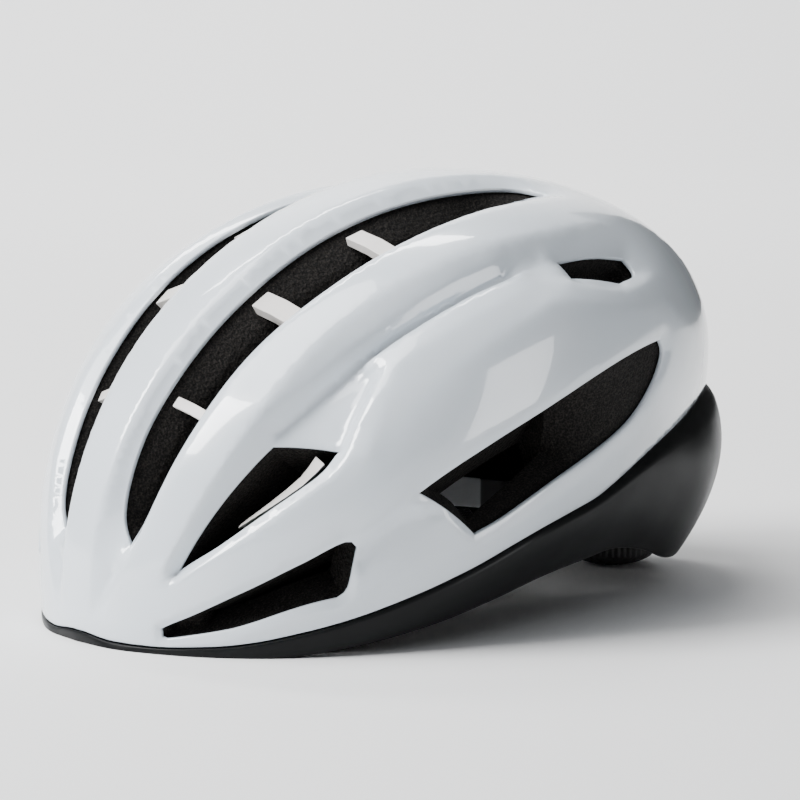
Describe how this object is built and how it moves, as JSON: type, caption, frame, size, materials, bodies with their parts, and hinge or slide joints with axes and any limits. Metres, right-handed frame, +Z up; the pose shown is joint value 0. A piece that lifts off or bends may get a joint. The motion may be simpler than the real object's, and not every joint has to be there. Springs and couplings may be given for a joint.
{
  "type": "cycling helmet",
  "caption": "Road cycling helmet with glossy ribbed shell, deep vents, foam liner, nape dial fit system, straps and buckle.",
  "frame": {"origin": "middle of the footprint on the surface that the helmet stands on", "axes": "+Z up towards the crown, -Y the way the wearer faces, +X the wearer's left; x = 0 is the mirror plane"},
  "size_m": [0.2094, 0.2917, 0.1601],
  "materials": {
    "shell_white": "high gloss in-moulded polycarbonate",
    "shell_charcoal": "satin gloss polycarbonate",
    "foam": "moulded bead foam with a fine grain",
    "fin_white": "satin",
    "plastic_black": "fine matt texture",
    "nylon_grey": "smooth natural nylon",
    "rubber": "matt",
    "pad_fabric": "brushed knit over foam",
    "webbing": "woven polyester"
  },
  "bodies": {
    "helmet": {"upper_shell": "shell_white", "lower_shell": "shell_charcoal", "foam_liner": "foam", "foam_tail": "foam", "slot_bar_front_left": "fin_white", "slot_bar_front_right": "fin_white", "slot_bar_mid_left": "fin_white", "slot_bar_mid_right": "fin_white", "slot_bar_rear_left": "fin_white", "slot_bar_rear_right": "fin_white", "corner_fin_left": "fin_white", "corner_fin_right": "fin_white", "front_hoop": "plastic_black", "height_rail": "plastic_black", "strap_anchor_front_left": "plastic_black", "strap_anchor_front_right": "plastic_black", "strap_anchor_rear_left": "plastic_black", "strap_anchor_rear_right": "plastic_black", "divider_left": "plastic_black", "divider_right": "plastic_black", "buckle_socket": "plastic_black", "brow_pad": "pad_fabric", "crown_pad": "pad_fabric", "side_pad_left": "pad_fabric", "side_pad_right": "pad_fabric", "strap_front_left": "webbing", "strap_front_right": "webbing", "strap_rear_left": "webbing", "strap_rear_right": "webbing", "chin_strap_left": "webbing", "chin_strap_right": "webbing"},
    "cradle": {"cradle_housing": "plastic_black", "cradle_cover": "plastic_black", "nape_pad_left": "pad_fabric", "nape_pad_right": "pad_fabric", "height_slider": "plastic_black"},
    "dial": {"dial_knob": "rubber", "dial_pinion": "plastic_black"},
    "band_left": {"fit_band_left": "nylon_grey"},
    "band_right": {"fit_band_right": "nylon_grey"},
    "lever_left": {"divider_lever_left": "plastic_black"},
    "lever_right": {"divider_lever_right": "plastic_black"},
    "plug": {"buckle_plug": "plastic_black"},
    "button": {"buckle_button": "plastic_black"}
  },
  "joints": [
    {"name": "cradle_height", "type": "slide", "parent": "helmet", "child": "cradle", "axis": [0, -0.5, 0.866], "range_m": [0, 0.01]},
    {"name": "dial_turn", "type": "hinge", "parent": "cradle", "child": "dial", "pos_m": [0, 0.10725, 0], "axis": [0, 0, 1], "range_deg": [-110, 110]},
    {"name": "band_left_draw", "type": "hinge", "parent": "cradle", "child": "band_left", "pos_m": [0, 0.04725, 0.0215], "axis": [0, 0, 1], "range_deg": [-5.6, 5.6]},
    {"name": "band_right_draw", "type": "hinge", "parent": "cradle", "child": "band_right", "pos_m": [0, 0.04725, 0.0215], "axis": [0, 0, 1], "range_deg": [-6.4, 6.4]},
    {"name": "lever_left_open", "type": "hinge", "parent": "helmet", "child": "lever_left", "pos_m": [0.0515, 0.00955, 0.0208], "axis": [-1, 0, 0], "range_deg": [0, 75]},
    {"name": "lever_right_open", "type": "hinge", "parent": "helmet", "child": "lever_right", "pos_m": [-0.0515, 0.00955, 0.0208], "axis": [-1, 0, 0], "range_deg": [0, 75]},
    {"name": "plug_release", "type": "slide", "parent": "helmet", "child": "plug", "axis": [-1, 0, 0], "range_m": [0, 0.009]},
    {"name": "button_press", "type": "slide", "parent": "helmet", "child": "button", "axis": [0, 0, -1], "range_m": [0, 0.001], "stiffness_N_per_m": 300}
  ],
  "couplings": [
    {"joint": "band_left_draw", "follows": "dial_turn", "ratio": 0.05},
    {"joint": "band_right_draw", "follows": "dial_turn", "ratio": -0.057143}
  ]
}
